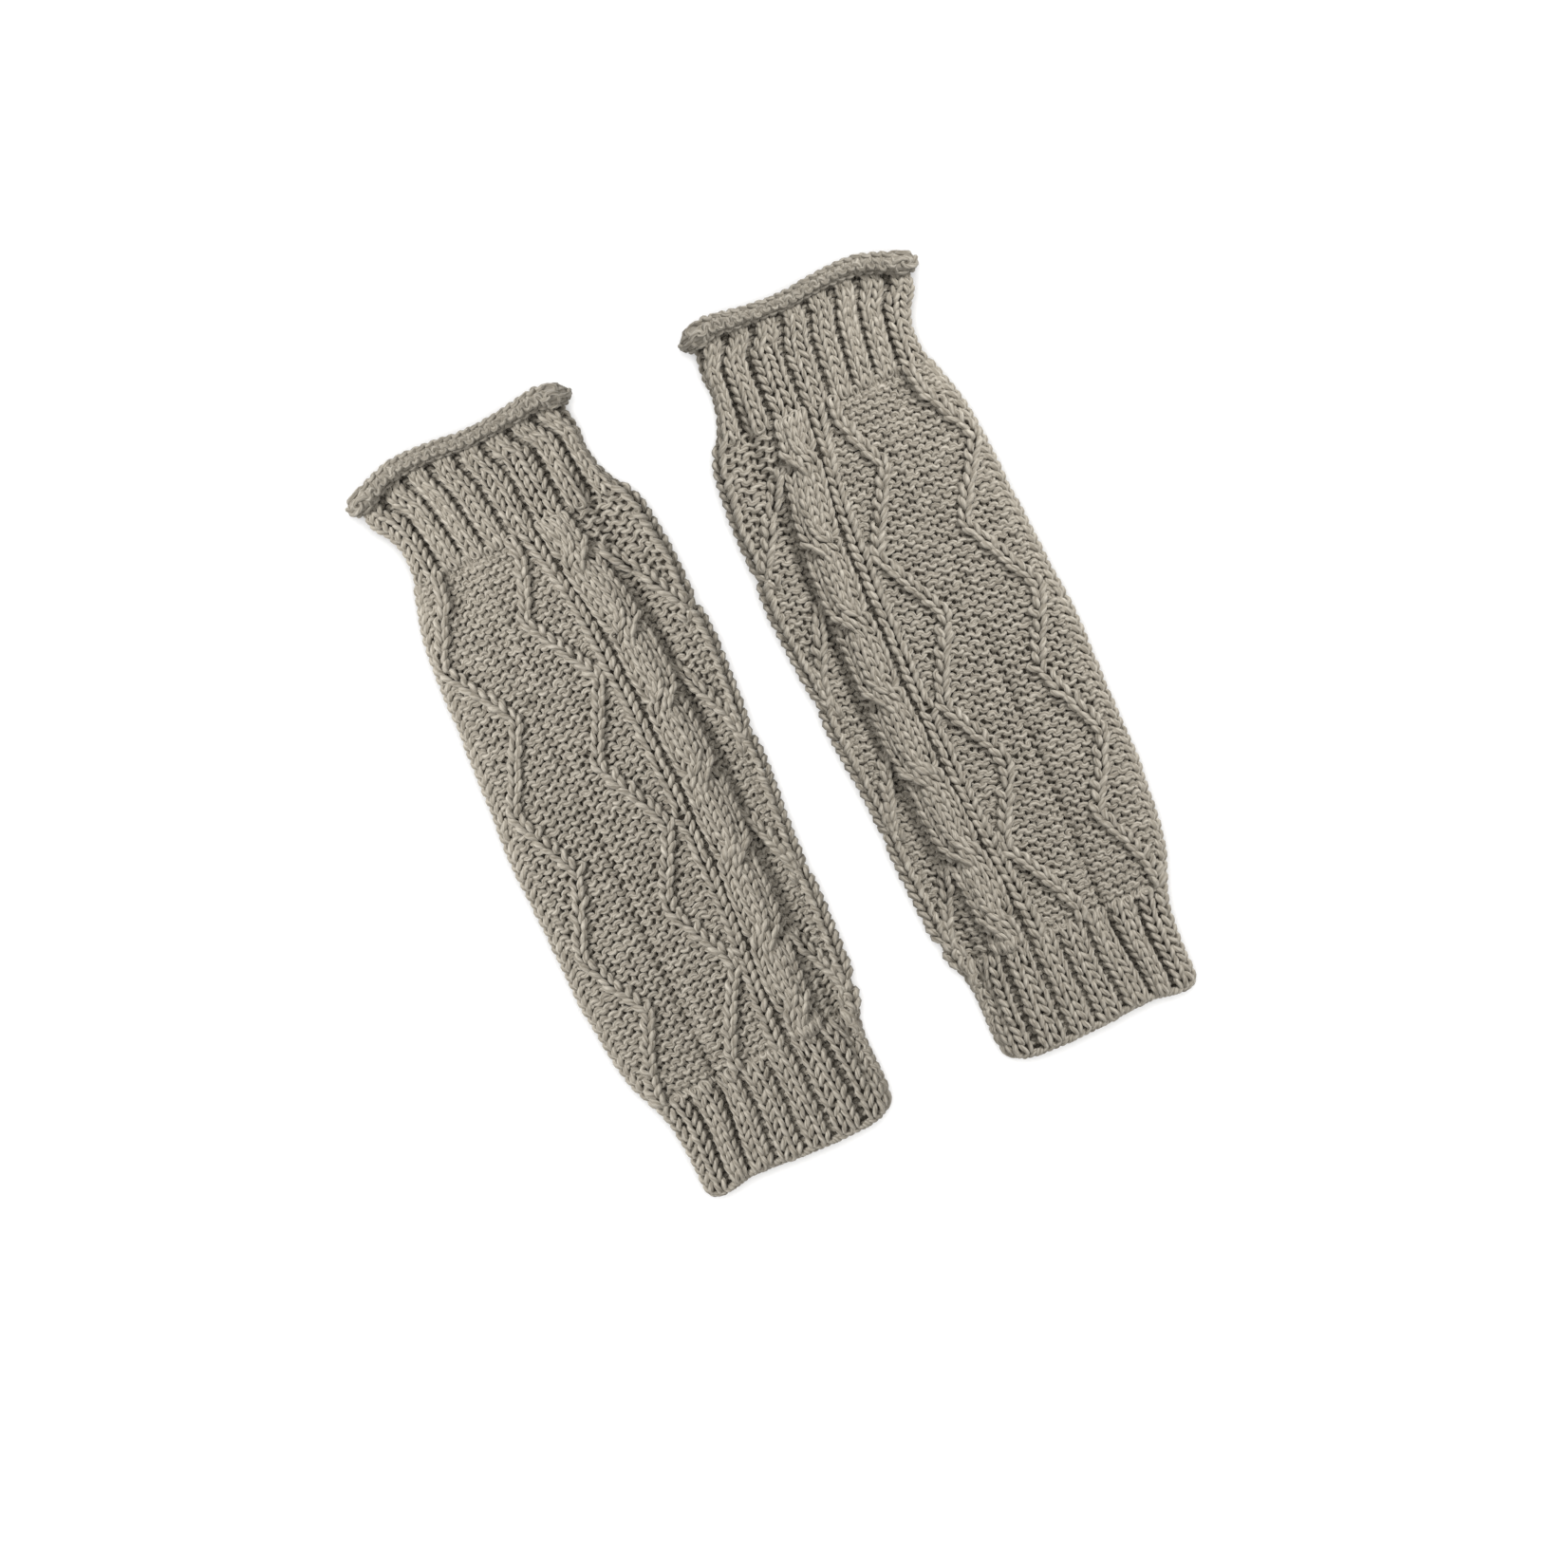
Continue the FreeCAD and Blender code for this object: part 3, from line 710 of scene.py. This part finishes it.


# ------------------------------------------------------------------ yarn material
# the gain scales the whole yarn colour down; below 1 it is painted shade
def yarn_material(name, painted_shade_gain):
    m = bpy.data.materials.new(name)
    m.use_nodes = True
    nt = m.node_tree
    nt.nodes.clear()
    N, L = nt.nodes.new, nt.links.new
    out = N("ShaderNodeOutputMaterial")
    bsdf = N("ShaderNodeBsdfPrincipled")
    L(bsdf.outputs[0], out.inputs[0])
    bsdf.inputs["Roughness"].default_value = 0.92
    bsdf.inputs["Specular IOR Level"].default_value = 0.18
    bsdf.inputs["Sheen Weight"].default_value = 0.22
    bsdf.inputs["Sheen Roughness"].default_value = 0.55
    bsdf.inputs["Sheen Tint"].default_value = (0.95, 0.92, 0.86, 1)
    uv = N("ShaderNodeUVMap"); uv.uv_map = "yarn"
    sep = N("ShaderNodeSeparateXYZ"); L(uv.outputs[0], sep.inputs[0])

    def math_node(op, a, b=None):
        n = N("ShaderNodeMath"); n.operation = op
        for i, x in enumerate((a, b)):
            if x is None:
                continue
            if isinstance(x, (int, float)):
                n.inputs[i].default_value = x
            else:
                L(x, n.inputs[i])
        return n.outputs[0]

    along, around = sep.outputs[0], sep.outputs[1]
    # three plies, one turn in about 6 mm
    phase = math_node("ADD", math_node("MULTIPLY", along, 2 * math.pi / 6.0 * 1.0), math_node("MULTIPLY", around, 2 * math.pi * 3))
    ply = math_node("MULTIPLY", math_node("ADD", math_node("SINE", phase), 1.0), 0.5)
    # fibres: fine noise drawn out along the yarn
    comb = N("ShaderNodeCombineXYZ")
    L(math_node("MULTIPLY", along, 0.35), comb.inputs[0])
    L(math_node("ADD", math_node("MULTIPLY", around, 14.0), math_node("MULTIPLY", along, 0.8)), comb.inputs[1])
    fib = N("ShaderNodeTexNoise"); fib.inputs["Scale"].default_value = 1.0; fib.inputs["Detail"].default_value = 2
    L(comb.outputs[0], fib.inputs["Vector"])
    # heather: lighter and browner stretches of yarn
    comb2 = N("ShaderNodeCombineXYZ")
    L(math_node("MULTIPLY", along, 0.11), comb2.inputs[0])
    tc = N("ShaderNodeTexCoord")
    sep2 = N("ShaderNodeSeparateXYZ"); L(tc.outputs["Object"], sep2.inputs[0])
    L(math_node("MULTIPLY", sep2.outputs[1], 300.0), comb2.inputs[1])
    hea = N("ShaderNodeTexNoise"); hea.inputs["Scale"].default_value = 1.0; hea.inputs["Detail"].default_value = 3
    L(comb2.outputs[0], hea.inputs["Vector"])
    mixf = math_node("ADD", math_node("MULTIPLY", fib.outputs["Fac"], 0.55), math_node("MULTIPLY", hea.outputs["Fac"], 0.45))
    ramp = N("ShaderNodeValToRGB")
    cr = ramp.color_ramp
    cr.elements[0].position = 0.30; cr.elements[0].color = (0.150 * painted_shade_gain, 0.130 * painted_shade_gain, 0.100 * painted_shade_gain, 1)
    cr.elements[1].position = 0.70; cr.elements[1].color = (0.520 * painted_shade_gain, 0.480 * painted_shade_gain, 0.410 * painted_shade_gain, 1)
    e = cr.elements.new(0.5); e.color = (0.330 * painted_shade_gain, 0.300 * painted_shade_gain, 0.250 * painted_shade_gain, 1)
    L(mixf, ramp.inputs[0])
    # painted shade: the colour is multiplied down to 0.6 in the grooves between the plies, where the bump is lowest
    painted_groove_shade = N("ShaderNodeMix"); painted_groove_shade.data_type = "RGBA"; painted_groove_shade.blend_type = "MULTIPLY"
    L(ramp.outputs[0], painted_groove_shade.inputs[6])
    groove_shade_ramp = N("ShaderNodeValToRGB")
    groove_shade_ramp.color_ramp.elements[0].position = 0.0; groove_shade_ramp.color_ramp.elements[0].color = (0.60, 0.58, 0.55, 1)
    groove_shade_ramp.color_ramp.elements[1].position = 0.5; groove_shade_ramp.color_ramp.elements[1].color = (1, 1, 1, 1)
    L(ply, groove_shade_ramp.inputs[0])
    L(groove_shade_ramp.outputs[0], painted_groove_shade.inputs[7])
    painted_groove_shade.inputs[0].default_value = 0.8
    # the felt between the stitches carries its own mark in the yarn map and takes a flat dark brown: painted shade for
    # the gaps between the stitches
    deep = N("ShaderNodeMix"); deep.data_type = "RGBA"
    L(math_node("LESS_THAN", along, -1000.0), deep.inputs[0])
    L(painted_groove_shade.outputs[2], deep.inputs[6])
    deep.inputs[7].default_value = (0.195, 0.170, 0.137, 1)
    L(deep.outputs[2], bsdf.inputs["Base Color"])
    hgt = math_node("ADD", math_node("MULTIPLY", math_node("POWER", ply, 0.5), 0.8), math_node("MULTIPLY", fib.outputs["Fac"], 0.5))
    bmp = N("ShaderNodeBump"); bmp.inputs["Strength"].default_value = 0.7; bmp.inputs["Distance"].default_value = 0.00035
    L(hgt, bmp.inputs["Height"])
    L(bmp.outputs[0], bsdf.inputs["Normal"])
    return m


MAT = yarn_material("heathered_wool", 1.0)
# painted shade: the rolled edge gets a copy of the yarn at 0.8 of its colour, standing in for the shade of the curled
# edge
MAT_ROLL_PAINTED_SHADE = yarn_material("heathered_wool_roll_painted_shade", 0.80)
CA, SA = math.cos(LAY_ANGLE), math.sin(LAY_ANGLE)


def make_piece(name, data, side):
    co, quads, us = data
    x = -LAY_X + co[:, 0] * CA - co[:, 1] * SA
    y = co[:, 0] * SA + co[:, 1] * CA
    pts = np.stack([x, y, co[:, 2]], -1) / 1000.0
    q = quads
    if side == "right":
        pts[:, 0] *= -1
        pts[:, 1] -= LAY_DROP / 1000.0
        q = quads[:, ::-1]
        us = us.reshape(-1, 4, 2)[:, ::-1].reshape(-1, 8)
    me = bpy.data.meshes.new(name)
    me.vertices.add(len(pts))
    me.vertices.foreach_set("co", pts.astype(np.float32).ravel())
    me.loops.add(q.size)
    me.loops.foreach_set("vertex_index", q.astype(np.int32).ravel())
    me.polygons.add(len(q))
    me.polygons.foreach_set("loop_start", (np.arange(len(q)) * 4).astype(np.int32))
    me.polygons.foreach_set("use_smooth", np.ones(len(q), bool))
    uvl = me.uv_layers.new(name="yarn")
    uvl.data.foreach_set("uv", us.astype(np.float32).ravel())
    me.update(calc_edges=True)
    me.validate()
    # the rolled edge takes the darker copy of the yarn: painted shade
    me.materials.append(MAT_ROLL_PAINTED_SHADE if "rolled" in name else MAT)
    ob = bpy.data.objects.new(name, me)
    bpy.context.scene.collection.objects.link(ob)
    return ob


# felt sheets under the yarns; their dark brown is painted shade for the gaps between stitches
shade_felt_layers = {"hem_rib": painted_shade_felt(hem, 0, hem.rows, rib_relief_at(hem)),
          "hand_rib": painted_shade_felt(hand, 0, PLAIN_FROM, rib_relief_at(hand)),
          "rolled_edge_knit": painted_shade_felt(hand, PLAIN_FROM, hand.rows, rib_relief_at(hand))}
for i in range(4):
    shade_felt_layers["sleeve_knit_%d" % (i + 1)] = painted_shade_felt(sleeve, cuts[i], cuts[i + 1], sleeve_relief)
# the rolled edge's felt gets no painted shade and keeps the yarn colour
built = {k: gather(rows, shade_felt_layers.get(k), 0 if k == "rolled_edge_knit" else -9000) for k, rows in groups.items()}
# outward faces: the signed volume of one yarn piece decides the winding
_co, _q, _u = built["cast_on_rope"]
_a, _b, _c = _co[_q[:, 0]], _co[_q[:, 1]], _co[_q[:, 2]]
if np.einsum("ij,ij->i", _a, np.cross(_b, _c)).sum() < 0:
    built = {k: (c, q[:, ::-1].copy(), u.reshape(-1, 4, 2)[:, ::-1].reshape(-1, 8)) for k, (c, q, u) in built.items()}

STANDS_FOR = {"cast_on_rope": "cast_on_edge", "hem_rib": "hem_cuff", "hand_rib": "hand_cuff",
              "rolled_edge_knit": "rolled_edge"}
KEY = 9.7
pieces = {"left": [], "right": []}
for side in ("left", "right"):
    for key, data in built.items():
        ob = make_piece(side + "_" + key, data, side)
        pieces[side].append(ob)
        if key.startswith("sleeve_knit"):
            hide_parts(side + "_cable_sleeve")
        else:
            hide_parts(side + "_" + STANDS_FOR[key])
        if key in ("hand_rib", "rolled_edge_knit", "sleeve_knit_4"):
            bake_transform(ob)
        elif key in ("cast_on_rope", "hem_rib", "sleeve_knit_1"):
            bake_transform(ob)
        else:
            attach(ob, side + "_sleeve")

# ------------------------------------------------------------------ floor, light, camera
def plain(name, colour, rough):
    m = bpy.data.materials.new(name)
    m.use_nodes = True
    b = m.node_tree.nodes["Principled BSDF"]
    b.inputs["Base Color"].default_value = (*colour, 1)
    b.inputs["Roughness"].default_value = rough
    b.inputs["Specular IOR Level"].default_value = 0.1
    return m


fm = bpy.data.meshes.new("floor")
fm.from_pydata([(-4, -4, 0), (4, -4, 0), (4, 4, 0), (-4, 4, 0)], [], [(0, 1, 2, 3)])
floor = bpy.data.objects.new("floor", fm)
fm.materials.append(plain("pale_floor", (0.93, 0.93, 0.93), 0.9))
bpy.context.scene.collection.objects.link(floor)

world_ = bpy.data.worlds.new("studio")
bpy.context.scene.world = world_
world_.use_nodes = True
world_.node_tree.nodes["Background"].inputs[0].default_value = (1, 1, 1, 1)
world_.node_tree.nodes["Background"].inputs[1].default_value = 0.73


def area(name, loc, size, power, colour=(1, 1, 1)):
    d = bpy.data.lights.new(name, "AREA")
    d.shape = "DISK"
    d.size = size
    d.energy = power
    d.color = colour
    o = bpy.data.objects.new(name, d)
    o.location = loc
    o.rotation_euler = (-Vector(loc)).to_track_quat("-Z", "Y").to_euler()
    bpy.context.scene.collection.objects.link(o)
    return o


def only_on(light, objects, name):
    c = bpy.data.collections.new(name)
    for o in objects:
        c.objects.link(o)
    light.light_linking.receiver_collection = c


# each glove is lit from its own outer side, as a mirrored pair
key_l = area("key_left", (-0.54, 0.44, 0.74), 0.36, KEY)
key_r = area("key_right", (0.54, 0.44, 0.74), 0.36, KEY)
only_on(key_l, pieces["left"], "left_glove_light")
only_on(key_r, pieces["right"], "right_glove_light")
top = area("floor_light", (0, 0.1, 1.9), 1.5, 30)
only_on(top, [floor], "floor_light_on")

cam = bpy.data.cameras.new("camera")
cam.lens = 100
cam.sensor_width = 36
cam_o = bpy.data.objects.new("camera", cam)
cam_o.location = (-0.0103, -0.0203, 0.5823 * 100 / 36 + 0.012)
cam_o.rotation_euler = (0, 0, math.radians(-24.54))
cam.clip_start = 0.05
bpy.context.scene.collection.objects.link(cam_o)
bpy.context.scene.camera = cam_o
bpy.context.scene.view_settings.view_transform = "Standard"
bpy.context.scene.view_settings.look = "None"
